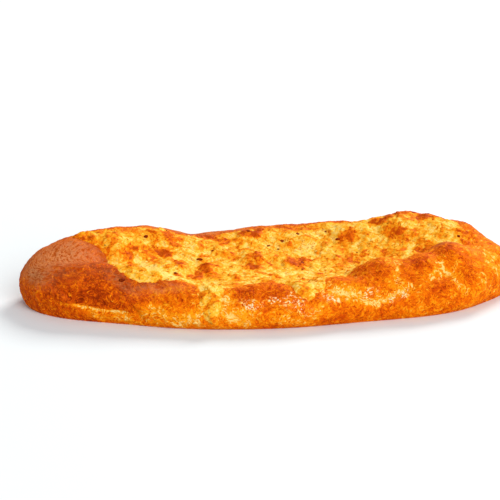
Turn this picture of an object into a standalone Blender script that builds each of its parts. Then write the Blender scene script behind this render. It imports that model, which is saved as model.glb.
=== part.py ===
"""A cheese roll: an oval flatbread with a raised, uneven rim and baked cheese in its hollow.

Run it in Blender 4.5, from the text editor or with blender --background --python part.py.
It makes two closed solids, the dough and the cheese that lies on it, in metres with +Z up.
+X runs along the loaf and the origin is on the table, under the middle of the loaf.
"""

import math

import bmesh
import bpy
import numpy as np
from mathutils import Vector, noise

MM = 0.001

# Driving sizes
LENGTH = 270 * MM
WIDTH = 106 * MM
HOLLOW_HEIGHT = 16 * MM  # dough in the middle of the loaf, under the cheese
HOLLOW_SLOPE = 0.09  # the hollow climbs towards the far side
FOOT_INSET = 4 * MM  # the side tucks in this far where it meets the table
SOFTNESS = 1.8 * MM  # how far lumps of dough melt into each other
CREASE_DEPTH = 1.7 * MM
CREASE_WIDTH = 3.2 * MM
SWELLS = ((17 * MM, 0.9 * MM), (7.5 * MM, 0.45 * MM))  # spacing and height of the uneven skin
SKIN_FROM = 6 * MM  # below this height the skin evens out towards the flat base

# Cheese
CHEESE_GAP = 0.45 * MM
CHEESE_EDGE = 0.8 * MM
CHEESE_THICKNESS = 2.4 * MM
CHEESE_TAPER = 7 * MM  # width of the band in which the cheese thins to its edge
CHEESE_WANDER = ((10 * MM, 1.8 * MM),)  # spacing and reach of its ragged edge

# Mesh resolution
CELLS_LONG = 72
CELLS_WIDE = 32
CELLS_SIDE = 7
SIDE_START = math.radians(52)  # the side's rows start this far up the rounding of the rim
FOOT_ANGLE = math.radians(-62)

# The rim at 16 even stations of the ellipse's angle: from the right tip by the far side and
# the left tip to the near side. Swell, crest reach and bank are shares of the way out.
RIM = (
    # swell, crest mm, crest reach, widest mm, round mm, bank
    (1.00, 26, 0.80, 12, 20, 0.30),  # right tip
    (1.00, 31, 0.80, 12, 18, 0.30),
    (1.04, 34, 0.80, 12, 15, 0.30),
    (1.01, 28, 0.84, 11, 14, 0.34),
    (0.99, 28, 0.84, 10, 13, 0.36),  # far side, middle
    (0.98, 25, 0.84, 10, 13, 0.34),
    (1.03, 33, 0.82, 12, 15, 0.30),
    (1.02, 31.5, 0.80, 13, 20, 0.22),
    (0.975, 25.5, 0.78, 12, 25, 0.17),  # left tip
    (0.93, 28, 0.78, 13, 22, 0.15),
    (0.875, 25, 0.78, 11, 16, 0.15),
    (0.92, 20, 0.80, 9, 13, 0.15),
    (0.94, 19, 0.80, 9, 13, 0.15),  # near side, middle
    (0.915, 19, 0.80, 9, 13, 0.16),
    (0.98, 22, 0.80, 10, 16, 0.20),
    (0.965, 25, 0.80, 11, 18, 0.26),
)
SWELL, CREST, CREST_REACH, WIDEST, ROUND, BANK = range(6)

# Lumps of dough on the rim: centre x and y, half length, half width, height in mm, turn in degrees
LUMPS = (
    (-62, -34, 22, 11, 21.0, 4),
    (-6, -36, 21, 13, 20.5, -2),
    (32, -33, 12, 13, 21.0, 10),
    (60, -24, 22, 18, 28.2, 8),
    (80, -21, 18, 18, 29.0, 5),
    (97, -12, 21, 22, 31.2, -20),
    (62, -37, 36, 12, 20.0, 2),
    (-67, 37, 38, 16, 32.2, -4),
    (83, 33, 22, 18, 36.5, -15),
    (94, 27, 20, 14, 36.5, -25),
    (107, 19, 26, 17, 34.6, -35),
    (40, 42, 32, 15, 30.2, 3),
)

# Creases in the crust, as x and y in mm on the loaf's skin laid flat
CREASES = (
    ((-118, -27), (-109, -32), (-101, -35), (-92, -39), (-84, -42)),
    ((29, -42), (38, -43), (45, -45), (52, -48), (59, -48), (63, -44), (70, -39)),
    ((88, -25), (93, -29), (100, -33), (111, -38)),
    ((93, -29), (81, -35)),
    ((65, -24), (65, -32), (61, -39)),
    ((-30, 62), (-8, 58), (12, 63)),
    ((60, 58), (80, 52), (96, 42)),
)

# Blisters in the cheese, from above: centre x and y, half length, half width, rise in mm, turn in degrees
BLISTERS = (
    (-55, 0, 17, 13, 4.2, 5),
    (-30, 0, 9, 7, 2.4, 10),
    (-23, 19, 9, 7, 2.2, -10),
    (-5, 13, 13, 9, 3.0, 5),
    (9, 8, 8, 7, 2.4, -10),
    (36, 14, 10, 7, 2.2, 0),
    (9, -38, 8, 10, 2.2, 0),
    (-30, -50, 8, 11, 1.6, 0),
    (-56, 27, 11, 7, 2.2, -8),
    (-7, 30, 10, 7, 2.2, 0),
    (21, 25, 11, 7, 2.2, 8),
    (47, 26, 12, 8, 2.2, 0),
    (75, 22, 12, 8, 2.0, -15),
    (96, 14, 9, 7, 1.8, -30),
    (-82, 16, 10, 9, 2.6, 30),
    (-38, 26, 9, 7, 2.0, 0),
    (-80, -12, 9, 8, 2.2, 40),
)

# The cheese's outline, in mm on the loaf's skin laid flat, anticlockwise from its left end
CHEESE_OUTLINE = (
    (-104, 19), (-97, 15), (-90, 12), (-86, 7), (-84, -3), (-83, -14), (-80, -24), (-71, -31),
    (-58, -32), (-48, -32), (-42, -36), (-41, -42), (-42, -48), (-44, -53), (-41, -57), (-36, -56),
    (-32, -52), (-29, -47), (-27, -40), (-22, -35), (-14, -32), (-4, -32), (5, -37), (10, -44),
    (16, -48), (22, -43), (26, -36), (31, -29), (39, -26), (44, -19), (52, -14), (64, -15),
    (74, -14), (81, -9), (88, -2), (98, -1), (106, -2), (112, 4), (109, 14), (99, 24), (82, 32),
    (66, 36), (50, 38), (35, 39), (8, 39), (-15, 38), (-35, 36), (-50, 34), (-75, 31), (-94, 27),
    (-105, 23),
)


def around(values, angle):
    """Values at even stations round the loaf, joined by a smooth closed curve."""
    count = len(values)
    values = np.asarray(values, float)
    place = np.asarray(angle) / (2 * math.pi) % 1 * count
    first = np.floor(place).astype(int)
    f = place - first
    a, b, c, d = (values[(first + k) % count] for k in (-1, 0, 1, 2))
    return b + 0.5 * f * (c - a + f * (2 * a - 5 * b + 4 * c - d + f * (3 * (b - c) + d - a)))


def rim(column, angle):
    return around([row[column] for row in RIM], angle)


def hump(x, y, centre_x, centre_y, half_length, half_width, turn):
    """Squared distance from a hump's centre, as a share of its half sizes."""
    c, s = math.cos(math.radians(turn)), math.sin(math.radians(turn))
    dx, dy = x - centre_x * MM, y - centre_y * MM
    along, across = (c * dx + s * dy), (c * dy - s * dx)
    return (along / (half_length * MM)) ** 2 + (across / (half_width * MM)) ** 2


def crust_height(x, y, reach, angle):
    """Height of the dough's upper side, before its edge is rounded over."""
    crest = rim(CREST, angle) * MM
    hollow = HOLLOW_HEIGHT + HOLLOW_SLOPE * y
    inside = np.clip((rim(CREST_REACH, angle) - reach) / rim(BANK, angle), 0, None)
    heights = [hollow + (crest - hollow) * np.exp(-inside * inside)]
    for cx, cy, half_length, half_width, top, turn in LUMPS:
        away = hump(x, y, cx, cy, half_length, half_width, turn)
        heights.append(HOLLOW_HEIGHT + (top * MM - HOLLOW_HEIGHT) * (1 - away))
    heights = np.array(heights) / SOFTNESS
    top = heights.max(axis=0)
    return SOFTNESS * (top + np.log(np.exp(heights - top).sum(axis=0)))


def plan(reach, angle):
    """Where a share of the way out at an angle lies, seen from above."""
    swell = rim(SWELL, angle)
    return (
        reach * swell * LENGTH / 2 * np.cos(angle),
        reach * swell * WIDTH / 2 * np.sin(angle),
    )


def on_loaf(a, b, c):
    """Maps points of a cube from -1 to 1 onto the loaf: its top, its side's rows and its flat base.

    Returns x, y, z and the same point's x and y on the skin laid flat, where the side lies
    outside the top by its true length."""
    u, v = a * np.sqrt(1 - b * b / 2), b * np.sqrt(1 - a * a / 2)
    share, angle = np.hypot(u, v), np.arctan2(v, u)
    unit = np.hypot(np.cos(angle) / (LENGTH / 2), np.sin(angle) / (WIDTH / 2))
    roundness, widest = rim(ROUND, angle) * MM, rim(WIDEST, angle) * MM
    turn = np.where(c > 0.999, SIDE_START, FOOT_ANGLE + (c + 1) / 2 * (SIDE_START - FOOT_ANGLE))
    upper = turn >= 0
    tuck = FOOT_INSET * (1 - np.cos(turn)) / (1 - math.cos(FOOT_ANGLE))
    inset = np.where(upper, roundness * (1 - np.cos(turn)), tuck)
    reach = (1 - inset * unit) * np.where(np.abs(c) > 0.999, share, 1)
    x, y = plan(reach, angle)
    from_edge = np.clip((1 - reach) / unit / roundness, 0, 1)
    rounded = np.sqrt(1 - (1 - from_edge) ** 2)
    height = widest + (crust_height(x, y, reach, angle) - widest) * rounded
    foot = widest * (1 - np.sin(turn) / math.sin(FOOT_ANGLE))
    z = np.where(upper, height, np.where(c < -0.999, 0, foot))
    down = roundness * (SIDE_START - np.maximum(turn, 0)) + widest * np.minimum(turn, 0) / FOOT_ANGLE
    flat_reach = np.where(c > 0.999, reach, 1 - roundness * (1 - math.cos(SIDE_START)) * unit + down * unit)
    return x, y, z, *plan(flat_reach, angle)


def sliced_cube(long_cells, wide_cells, side_cells):
    """A cube from -1 to 1 whose faces are cut into cells."""
    mesh = bmesh.new()
    bmesh.ops.create_cube(mesh, size=2)
    for axis, cells in enumerate((long_cells, wide_cells, side_cells)):
        normal = [0, 0, 0]
        normal[axis] = 1
        for k in range(1, cells):
            point = [0, 0, 0]
            point[axis] = 2 * k / cells - 1
            bmesh.ops.bisect_plane(
                mesh, geom=mesh.verts[:] + mesh.edges[:] + mesh.faces[:],
                plane_co=point, plane_no=normal, dist=1e-6,
            )
    return mesh


def line_distance(x, y, points):
    """Distance to an open line through points given in mm."""
    best = np.full(np.shape(x), np.inf)
    for (x0, y0), (x1, y1) in zip(points, points[1:]):
        x0, y0, dx, dy = x0 * MM, y0 * MM, (x1 - x0) * MM, (y1 - y0) * MM
        along = np.clip(((x - x0) * dx + (y - y0) * dy) / (dx * dx + dy * dy), 0, 1)
        best = np.minimum(best, np.hypot(x - x0 - along * dx, y - y0 - along * dy))
    return best


def ripple(places, waves):
    """Smooth noise at each place, summed over pairs of spacing and height."""
    return np.array([
        sum(height * noise.noise(Vector(place) / spacing) for spacing, height in waves)
        for place in places
    ])


def loaf_surface():
    """The dough's outside as a closed bmesh, and each vertex's place on the skin laid flat."""
    mesh = sliced_cube(CELLS_LONG, CELLS_WIDE, CELLS_SIDE)
    cube = np.array([v.co for v in mesh.verts], float)
    x, y, z, flat_x, flat_y = on_loaf(*cube.T)
    places = np.transpose((x, y, z))
    for vert, place in zip(mesh.verts, places):
        vert.co = place
    mesh.normal_update()
    outward = ripple(places, SWELLS)
    for crease in CREASES:
        distance = line_distance(flat_x, flat_y, crease)
        outward -= CREASE_DEPTH * np.exp(-((distance / CREASE_WIDTH) ** 2))
    outward *= np.clip(z / SKIN_FROM, 0, 1)
    for vert, move in zip(mesh.verts, outward):
        vert.co += vert.normal * float(move)
    mesh.normal_update()
    return mesh, np.transpose((flat_x, flat_y))


def inside_distance(x, y, outline):
    """Distance to a closed outline, positive inside it."""
    ends = outline[1:] + outline[:1]
    odd = np.zeros(np.shape(x), bool)
    for (x0, y0), (x1, y1) in zip(outline, ends):
        if y0 != y1:
            odd ^= ((y0 > y) != (y1 > y)) & (x < x0 + (x1 - x0) * (y - y0) / (y1 - y0))
    best = line_distance(x, y, [(px / MM, py / MM) for px, py in outline + outline[:1]])
    return np.where(odd, best, -best)


def smooth_outline(points, per_side=4):
    """A closed Catmull-Rom curve through the outline's points, in metres."""
    steps = np.arange(len(points) * per_side) / per_side / len(points) * 2 * math.pi
    xs = around([p[0] * MM for p in points], steps)
    ys = around([p[1] * MM for p in points], steps)
    return list(zip(xs, ys))


def cheese_depth(flat):
    """How far inside the cheese's ragged edge each place on the skin lies."""
    edge = inside_distance(*flat.T, smooth_outline(CHEESE_OUTLINE))
    return edge + ripple([(x, y, 0) for x, y in flat], CHEESE_WANDER)


def snap_to_edge(mesh, depth):
    """Slides vertices along their edges so that none crosses from inside the cheese to outside."""
    moves = {}
    for edge in mesh.edges:
        a, b = edge.verts
        da, db = depth[a.index], depth[b.index]
        if da * db >= 0:
            continue
        share = da / (da - db)
        near, far, step = (a, b, share) if share <= 0.5 else (b, a, 1 - share)
        length = step * edge.calc_length()
        if near not in moves or length < moves[near][0]:
            moves[near] = (length, near.co.lerp(far.co, step), near.normal.lerp(far.normal, step))
    for vert, (_, place, normal) in moves.items():
        vert.co, vert.normal = place, normal.normalized()
        depth[vert.index] = 0


def new_object(name, mesh, material, collection):
    data = bpy.data.meshes.new(name)
    mesh.to_mesh(data)
    mesh.free()
    data.shade_smooth()
    data.materials.append(material)
    obj = bpy.data.objects.new(name, data)
    collection.objects.link(obj)
    return obj


def make_dough(collection, material):
    mesh, _ = loaf_surface()
    bmesh.ops.triangulate(mesh, faces=[f for f in mesh.faces if f.calc_center_median().z > 1e-6])
    base = [f for f in mesh.faces if max(v.co.z for v in f.verts) < 1e-6]
    bmesh.ops.dissolve_faces(mesh, faces=base)
    return new_object("bread_dough", mesh, material, collection)


def make_cheese(collection, material):
    """The cheese is the dough's own upper surface, lifted clear of it and given a thickness."""
    mesh, flat = loaf_surface()
    depth = cheese_depth(flat)
    bmesh.ops.triangulate(mesh, faces=[f for f in mesh.faces if f.calc_center_median().z > 1e-6])
    snap_to_edge(mesh, depth)
    outside = [f for f in mesh.faces if max(depth[v.index] for v in f.verts) <= 0 or len(f.verts) > 3]
    depth = np.clip(depth, 0, None)
    places = np.array([v.co for v in mesh.verts])
    thickness = CHEESE_EDGE + (CHEESE_THICKNESS - CHEESE_EDGE) * np.sqrt(
        1 - (1 - np.clip(depth / CHEESE_TAPER, 0, 1)) ** 2
    )
    for cx, cy, half_length, half_width, rise, turn in BLISTERS:
        dome = 1 - hump(places[:, 0], places[:, 1], cx, cy, half_length, half_width, turn)
        thickness += rise * MM * np.clip(dome, 0, 1) ** 1.5
    upward = mesh.verts.layers.float_vector.new("upward")
    for vert, thick in zip(mesh.verts, thickness):
        vert[upward] = vert.normal * float(thick)
        vert.co += CHEESE_GAP * vert.normal
    bmesh.ops.delete(mesh, geom=outside, context="FACES")
    made = bmesh.ops.extrude_face_region(mesh, geom=mesh.faces[:], use_keep_orig=True)
    for vert in (g for g in made["geom"] if isinstance(g, bmesh.types.BMVert)):
        vert.co += vert[upward]
    bmesh.ops.recalc_face_normals(mesh, faces=mesh.faces[:])
    return new_object("cheese_topping", mesh, material, collection)


def baked(name, colour, roughness):
    material = bpy.data.materials.new(name)
    material.use_nodes = True
    shader = material.node_tree.nodes["Principled BSDF"]
    shader.inputs["Base Color"].default_value = (*colour, 1)
    shader.inputs["Roughness"].default_value = roughness
    return material


def main():
    for obj in list(bpy.data.objects):
        bpy.data.objects.remove(obj)
    collection = bpy.data.collections.new("cheese_roll")
    bpy.context.scene.collection.children.link(collection)
    make_dough(collection, baked("baked crust", (0.60, 0.17, 0.02), 0.45))
    make_cheese(collection, baked("baked cheese", (0.88, 0.50, 0.09), 0.50))


main()
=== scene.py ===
"""A cheese roll: a browned oval loaf, baked cheese in its hollow, and a plain studio stage.

Blender runs this file as a script. It is laid out as an add-on: each piece has an operator, and
the sizes and colours that a baker would change are properties of the scene.
"""

import math

import bpy
import numpy as np
from bpy.props import FloatProperty, FloatVectorProperty, IntProperty, PointerProperty
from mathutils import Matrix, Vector, noise


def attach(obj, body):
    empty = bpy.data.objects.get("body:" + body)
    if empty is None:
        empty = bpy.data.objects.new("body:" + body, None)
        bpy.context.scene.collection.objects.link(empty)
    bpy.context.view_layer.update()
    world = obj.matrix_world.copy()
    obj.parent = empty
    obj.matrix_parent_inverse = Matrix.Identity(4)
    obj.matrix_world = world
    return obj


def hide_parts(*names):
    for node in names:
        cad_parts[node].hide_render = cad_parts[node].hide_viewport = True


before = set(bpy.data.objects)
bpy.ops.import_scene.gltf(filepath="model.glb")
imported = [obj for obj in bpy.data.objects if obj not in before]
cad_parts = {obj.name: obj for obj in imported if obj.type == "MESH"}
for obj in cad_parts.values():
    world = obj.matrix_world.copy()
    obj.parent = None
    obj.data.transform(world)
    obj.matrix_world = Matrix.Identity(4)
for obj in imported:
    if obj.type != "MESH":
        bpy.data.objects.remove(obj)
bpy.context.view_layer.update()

bl_info = {
    "name": "Cheese Roll",
    "version": (1, 0, 0),
    "blender": (4, 5, 0),
    "location": "3D View > Sidebar > Cheese Roll",
    "description": "Bakes an oval cheese roll and sets it on a studio stage",
    "category": "Add Mesh",
}

MM = 0.001

# The loaf's form, as the solid dough has it
FOOT_INSET = 4 * MM  # the side tucks in this far where it meets the table
SOFTNESS = 1.8 * MM  # how far lumps of dough melt into each other
SWELLS = ((17 * MM, 0.9 * MM), (7.5 * MM, 0.45 * MM))  # spacing and height of the uneven skin
SKIN_FROM = 6 * MM  # below this height the skin evens out towards the flat base
HOLLOW_SLOPE = 0.09  # the hollow climbs towards the far side
SIDE_START = math.radians(52)  # the side starts this far up the rounding of the rim
FOOT_ANGLE = math.radians(-62)  # the side's slope where it meets the table
SKIN_LENGTH, SKIN_WIDTH = 1.2, 1.3  # the skin laid flat, as shares of the loaf's length and width
FINE_RIPPLE = ((3.2 * MM, 0.35 * MM),)  # spacing and height of the finest unevenness
FINE_FROM = 3 * MM  # below this height the fine relief fades out towards the table
CURL = 0.8  # how much the wrinkles curl

# The rim at 16 even stations of the ellipse's angle: from the right tip by the far side and
# the left tip to the near side. Swell, crest reach and bank are shares of the way out, and
# browning runs from 0, pale straw, to 1, scorched.
RIM = (
    # swell, crest mm, crest reach, widest mm, round mm, bank, browning
    (1.00, 26, 0.80, 12, 20, 0.30, 0.47),  # right tip
    (1.00, 31, 0.80, 12, 18, 0.30, 0.58),
    (1.04, 34, 0.80, 12, 15, 0.30, 0.66),
    (1.01, 28, 0.84, 11, 14, 0.34, 0.62),
    (0.99, 28, 0.84, 10, 13, 0.36, 0.60),  # far side, middle
    (0.98, 25, 0.84, 10, 13, 0.34, 0.62),
    (1.03, 33, 0.82, 12, 15, 0.30, 0.62),
    (1.02, 31.5, 0.80, 13, 20, 0.22, 0.66),
    (0.975, 25.5, 0.78, 12, 25, 0.17, 0.70),  # left tip
    (0.93, 28, 0.78, 13, 22, 0.15, 0.70),
    (0.875, 25, 0.78, 11, 16, 0.15, 0.64),
    (0.92, 20, 0.80, 9, 13, 0.15, 0.50),
    (0.94, 19, 0.80, 9, 13, 0.15, 0.50),  # near side, middle
    (0.915, 19, 0.80, 9, 13, 0.16, 0.52),
    (0.98, 22, 0.80, 10, 16, 0.20, 0.50),
    (0.965, 25, 0.80, 11, 18, 0.26, 0.48),
)
SWELL, CREST, CREST_REACH, WIDEST, ROUND, BANK, BROWNING = range(7)

# Lumps of dough on the rim: centre x and y, half length, half width, height in mm, turn in degrees
LUMPS = (
    (-62, -34, 22, 11, 21.0, 4), (-6, -36, 21, 13, 20.5, -2), (32, -33, 12, 13, 21.0, 10),
    (60, -24, 22, 18, 28.2, 8), (80, -21, 18, 18, 29.0, 5), (97, -12, 21, 22, 31.2, -20),
    (62, -37, 36, 12, 20.0, 2), (-67, 37, 38, 16, 32.2, -4), (83, 33, 22, 18, 36.5, -15),
    (94, 27, 20, 14, 36.5, -25), (107, 19, 26, 17, 34.6, -35), (40, 42, 32, 15, 30.2, 3),
)

# Creases in the crust, as x and y in mm on the loaf's skin laid flat
CREASES = (
    ((-118, -27), (-109, -32), (-101, -35), (-92, -39), (-84, -42)),
    ((29, -42), (38, -43), (45, -45), (52, -48), (59, -48), (63, -44), (70, -39)),
    ((88, -25), (93, -29), (100, -33), (111, -38)),
    ((93, -29), (81, -35)),
    ((65, -24), (65, -32), (61, -39)),
    ((-30, 62), (-8, 58), (12, 63)),
    ((60, 58), (80, 52), (96, 42)),
)
STRETCHED = slice(1, 5)  # the creases that pulled the skin thin, so that it stays pale
STRETCH_WIDTH = 1.8 * MM

# Blisters in the cheese, from above: centre x and y, half length, half width, rise in mm, turn in degrees
BLISTERS = (
    (-55, 0, 17, 13, 4.2, 5), (-30, 0, 9, 7, 2.4, 10), (-23, 19, 9, 7, 2.2, -10),
    (-5, 13, 13, 9, 3.0, 5), (9, 8, 8, 7, 2.4, -10), (36, 14, 10, 7, 2.2, 0),
    (9, -38, 8, 10, 2.2, 0), (-30, -50, 8, 11, 1.6, 0), (-56, 27, 11, 7, 2.2, -8),
    (-7, 30, 10, 7, 2.2, 0), (21, 25, 11, 7, 2.2, 8), (47, 26, 12, 8, 2.2, 0),
    (75, 22, 12, 8, 2.0, -15), (96, 14, 9, 7, 1.8, -30), (-82, 16, 10, 9, 2.6, 30),
    (-38, 26, 9, 7, 2.0, 0), (-80, -12, 9, 8, 2.2, 40),
)

# The cheese's outline, in mm on the loaf's skin laid flat, anticlockwise from its left end
CHEESE_OUTLINE = (
    (-104, 19), (-97, 15), (-90, 12), (-86, 7), (-84, -3), (-83, -14), (-80, -24), (-71, -31),
    (-58, -32), (-48, -32), (-42, -36), (-41, -42), (-42, -48), (-44, -53), (-41, -57), (-36, -56),
    (-32, -52), (-29, -47), (-27, -40), (-22, -35), (-14, -32), (-4, -32), (5, -37), (10, -44),
    (16, -48), (22, -43), (26, -36), (31, -29), (39, -26), (44, -19), (52, -14), (64, -15),
    (74, -14), (81, -9), (88, -2), (98, -1), (106, -2), (112, 4), (109, 14), (99, 24), (82, 32),
    (66, 36), (50, 38), (35, 39), (8, 39), (-15, 38), (-35, 36), (-50, 34), (-75, 31), (-94, 27),
    (-105, 23),
)
CHEESE_WANDER = ((10 * MM, 1.8 * MM), (3.2 * MM, 0.7 * MM))  # spacing and reach of its ragged edge
GRID_MARGIN = 3 * MM  # of the cheese's grid round its outline
RELIEF_FROM = 3 * MM  # blisters and puffs are at their full height this far in from the edge
BLISTER_WANDER = ((6 * MM, 2.2 * MM),)  # spacing and reach of the blisters' ragged outline
LARGE_PUFFS, SMALL_PUFFS = 6 * MM, 2.8 * MM  # spacing
BLISTER_BROWNING = 19  # for each metre that a blister rises
CRISP_EDGE, BROWNED_EDGE = 1.6 * MM, 6 * MM  # width of the edge's dark line, and of its browner band
FAR_SIDE = 20 * MM  # from the middle to where the far side's edge is browned in full

# The seam under the roll at the left tip, where its dark crust overhangs the pale lip of the base
SEAM = ((-130, -23), (-120, -28), (-109, -33), (-101, -36), (-92, -39), (-82, -44))
SEAM_ENDS = (6 * MM, 10 * MM)  # the lengths in which the seam fades out at its left and its right
SEAM_STEP = 1.2 * MM  # the height in which the roll turns in to the lip
OVERHANG_RISE = 5 * MM  # the height above the seam in which the overhang fades out
LIP_HIGHLIGHT, LIP_HIGHLIGHT_WIDTH = 0.9 * MM, 0.55 * MM  # the painted highlight along the lip's top edge: how far below the seam, and width

# Where the oven browned the crust more or less than its rim's own browning, on the skin laid
# flat: centre x and y, half length, half width in mm, change of browning, turn in degrees
CRUST_BROWNING = (
    (-104, -22, 16, 9, 0.07, -25), (-87, -32, 16, 6, 0.10, -15), (-88, -18, 8, 6, 0.10, -30),
    (-108, -31, 12, 5, 0.04, -20), (-101, -41, 22, 5, -0.12, -26), (-62, -33, 20, 2.2, 0.22, -3),
    (-79, -26, 8, 3, 0.18, -40), (-115, -34, 6, 3, -0.16, -20), (-96, -43, 7, 3, -0.12, -20),
    (-75, -45, 10, 5, -0.24, 0), (-61, -52, 11, 5, -0.20, 0), (-46, -52, 8, 4, -0.22, 0),
    (-32, -47, 9, 9, -0.28, 0), (-22, -56, 10, 5, -0.30, 0), (-4, -41, 16, 6, 0.16, 0),
    (-20, -43, 6, 5, 0.20, 0), (3, -57, 10, 4, -0.20, 0), (16, -60, 10, 3, -0.18, 0),
    (22, -54, 9, 4, -0.14, 0), (-11, -59, 10, 3, 0.10, 0), (36, -55, 16, 5, 0.10, 8),
    (48, -27, 9, 7, 0.11, 0), (55, -34, 6, 5, 0.06, 0), (71, -29, 7, 7, 0.10, 0),
    (80, -27, 8, 5, 0.12, 0), (90, -16, 13, 6, 0.14, -20), (92, -5, 12, 4, 0.22, -25),
    (105, -28, 6, 6, 0.15, 0), (104, -43, 10, 4, 0.10, 0), (88, -37, 8, 5, 0.08, 0),
    (36, -43, 12, 5, -0.28, 0), (54, -47, 11, 4, -0.24, 0), (66, -42, 8, 3, -0.14, 35),
    (116, -12, 8, 12, -0.12, 0), (120, -28, 7, 6, -0.10, 0),
)

# Where the crust is smooth and takes a painted tan sheen, and where painted glints of its glaze go, laid
# out like the browning
SMOOTH_CRUST_AND_PAINTED_SHEEN = (
    (-106, 3, 34, 17, 1.0, -10), (-92, -2, 12, 12, -0.35, 0), (-128, -12, 9, 12, 0.8, 0),
    (-80, -28, 9, 3, 0.5, -40), (-62, -35, 17, 3, 0.45, -3), (57, -12, 16, 3, 0.6, 5),
    (97, -8, 12, 4, 0.6, -20), (-60, 42, 50, 9, 1.0, 0), (25, 46, 60, 7, 0.25, 0),
    (110, 28, 34, 9, 0.7, -40),
)
# Where pale glints of light are painted on as highlights
CRUST_PAINTED_GLINTS = (
    (-15, -50, 6, 4, 1.0, 0), (-2, -48, 5, 3, 1.0, 0), (8, -48, 6, 4, 1.0, 0),
    (15, -53, 7, 3, 1.0, -10), (28, -46, 7, 4, 1.0, 0), (49, -42, 3, 3, 0.8, 0),
    (66, -44, 8, 3, 0.8, 40),
)

# Where the cheese is browned more or less, laid out like the crust's browning. The first spot is not
# browning but a painted highlight that pales the lit side of the big blister at the left.
CHEESE_BROWNING_AND_HIGHLIGHT = (
    (-63, -10, 20, 5.5, -0.50, -70), (84, 28, 17, 4, 0.18, -20), (-61, 15, 5, 4, 0.36, 0),
    (-54, 15, 4, 4, 0.38, 0), (-75, 11, 3, 4, 0.26, 0), (-70, 17, 6, 3, 0.20, 0),
    (-71, 4, 4, 4, 0.30, 0), (-46, 4, 5, 6, 0.34, 0), (-31, 3, 6, 4, 0.30, 0),
    (-36, 0, 7, 5, 0.14, 0), (-31, 25, 11, 4, 0.16, 0), (-36, 18, 3, 3, 0.20, 0),
    (-19, 14, 6, 4, 0.28, -20), (-6, 10, 5, 3, 0.32, 0), (-7, -1, 6, 7, 0.24, 0),
    (-34, -11, 11, 6, 0.20, 0), (-74, -22, 8, 6, 0.14, 0), (-92, 13, 16, 6, 0.04, 0),
    (-86, 20, 8, 3, 0.14, 0), (-65, 25, 20, 4, 0.20, 0), (-32, 33, 8, 3, 0.30, 0),
    (-19, 28, 7, 2, 0.30, 0), (-6, 32, 7, 3, 0.45, 0), (-49, -10, 3, 3, 0.40, 0),
    (-18, -18, 4, 5, 0.26, 0), (4, 6, 18, 9, 0.17, 0), (17, 5, 7, 6, 0.29, 0),
    (18, -1, 5, 5, 0.22, 0), (17, -20, 8, 6, -0.04, 0), (21, 34, 14, 3, 0.20, 0),
    (51, 19, 20, 6, 0.08, 0), (40, 2, 16, 9, 0.14, 0), (65, 4, 5, 4, 0.20, 0),
    (66, 27, 7, 3, 0.45, 0), (71, 19, 5, 6, 0.22, 0), (78, 13, 7, 4, 0.24, 0),
    (87, 0, 7, 4, 0.36, 0), (96, 8, 5, 4, 0.26, 0), (109, 5, 5, 6, 0.30, 0),
)

# Scorched specks: x, y on the skin laid flat and width, in mm
SCORCHES = (
    (-36, 9, 4.0), (-28, 18, 2.2), (-64, 22, 2.8), (-79, -28, 3.4), (-7, 31, 2.6),
    (20, 28, 2.4), (11, 25, 2.0), (3, 22, 2.0), (41, 20, 2.8), (36, 30, 1.4),
    (8, 18, 1.5), (19, 3, 2.4), (105, 5, 2.4), (-50, -8, 2.4), (18, -5, 1.6),
)
SPECK_REGION = ((-100, -35), (110, 35))  # opposite corners of where small specks fall, likewise
SPECK_MARGIN = 2 * MM  # they stay this far inside the cheese
SPECK_SEED = 5
CRUMBLE = 0.9 * MM  # spacing and reach of the specks' crumbled outline

BUBBLE_SHAPE = (0.5, 0.5, 0.16)  # half sizes of a bubble, as shares of its width
MOST_BUBBLES = 2.0e5  # on a square metre, before their spacing thins them out

AIM_RIGHT, AIM_UP = -0.0097, 0.0259  # metres from the origin to what the camera looks at


def linear(code):
    """An sRGB hex colour as linear red, green, blue and full alpha."""
    shares = [int(code[k:k + 2], 16) / 255 for k in (1, 3, 5)]
    return (*[c / 12.92 if c <= 0.04045 else ((c + 0.055) / 1.055) ** 2.4 for c in shares], 1.0)


def colour(label, description, code):
    return FloatVectorProperty(
        name=label, description=description, default=linear(code), subtype="COLOR", size=4, min=0, max=1
    )


def number(label, description, default, **options):
    return FloatProperty(name=label, description=description, default=default, **options)


def length(label, description, default):
    return number(label, description, default, unit="LENGTH", subtype="DISTANCE", min=0)


class LoafProperties(bpy.types.PropertyGroup):
    length: length("Length", "Loaf from tip to tip, before its rim swells", 270 * MM)
    width: length("Width", "Loaf from side to side, before its rim swells", 106 * MM)
    hollow_height: length("Hollow Height", "Dough in the middle, under the cheese", 16 * MM)
    crease_depth: length("Crease Depth", "How deep the creases of the crust are", 1.7 * MM)
    crease_width: length("Crease Width", "How wide the creases of the crust are", 3.2 * MM)
    wrinkle_height: length("Wrinkle Height", "Height of the crust's curling wrinkles", 0.30 * MM)
    wrinkle_spacing: length("Wrinkle Spacing", "Distance between the curling wrinkles", 2.3 * MM)
    overhang: length("Overhang", "How far the roll stands out over the lip at the left", 1.2 * MM)
    cell: length("Cell", "Size of the mesh's faces", 0.64 * MM)
    scorched: colour("Scorched", "Crust that the oven has almost burnt", "#922c04")
    browned: colour("Browned", "Well browned crust", "#cc4a04")
    orange: colour("Orange", "Crust in the middle of its browning", "#f07404")
    golden: colour("Golden", "Lightly baked crust", "#fda414")
    straw: colour("Straw", "Stretched, hardly baked crust in the creases", "#fdd278")
    # Tan and rose are the colours of the painted sheen, and glint is the colour of the painted highlights
    tan: colour("Tan", "Smooth crust with a dull sheen", "#c97d46")
    rose: colour("Rose", "Palest streaks of the dull crust", "#d68f5c")
    painted_glint: colour("Glint", "Crackled glaze that catches the light", "#ffe4b8")


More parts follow.
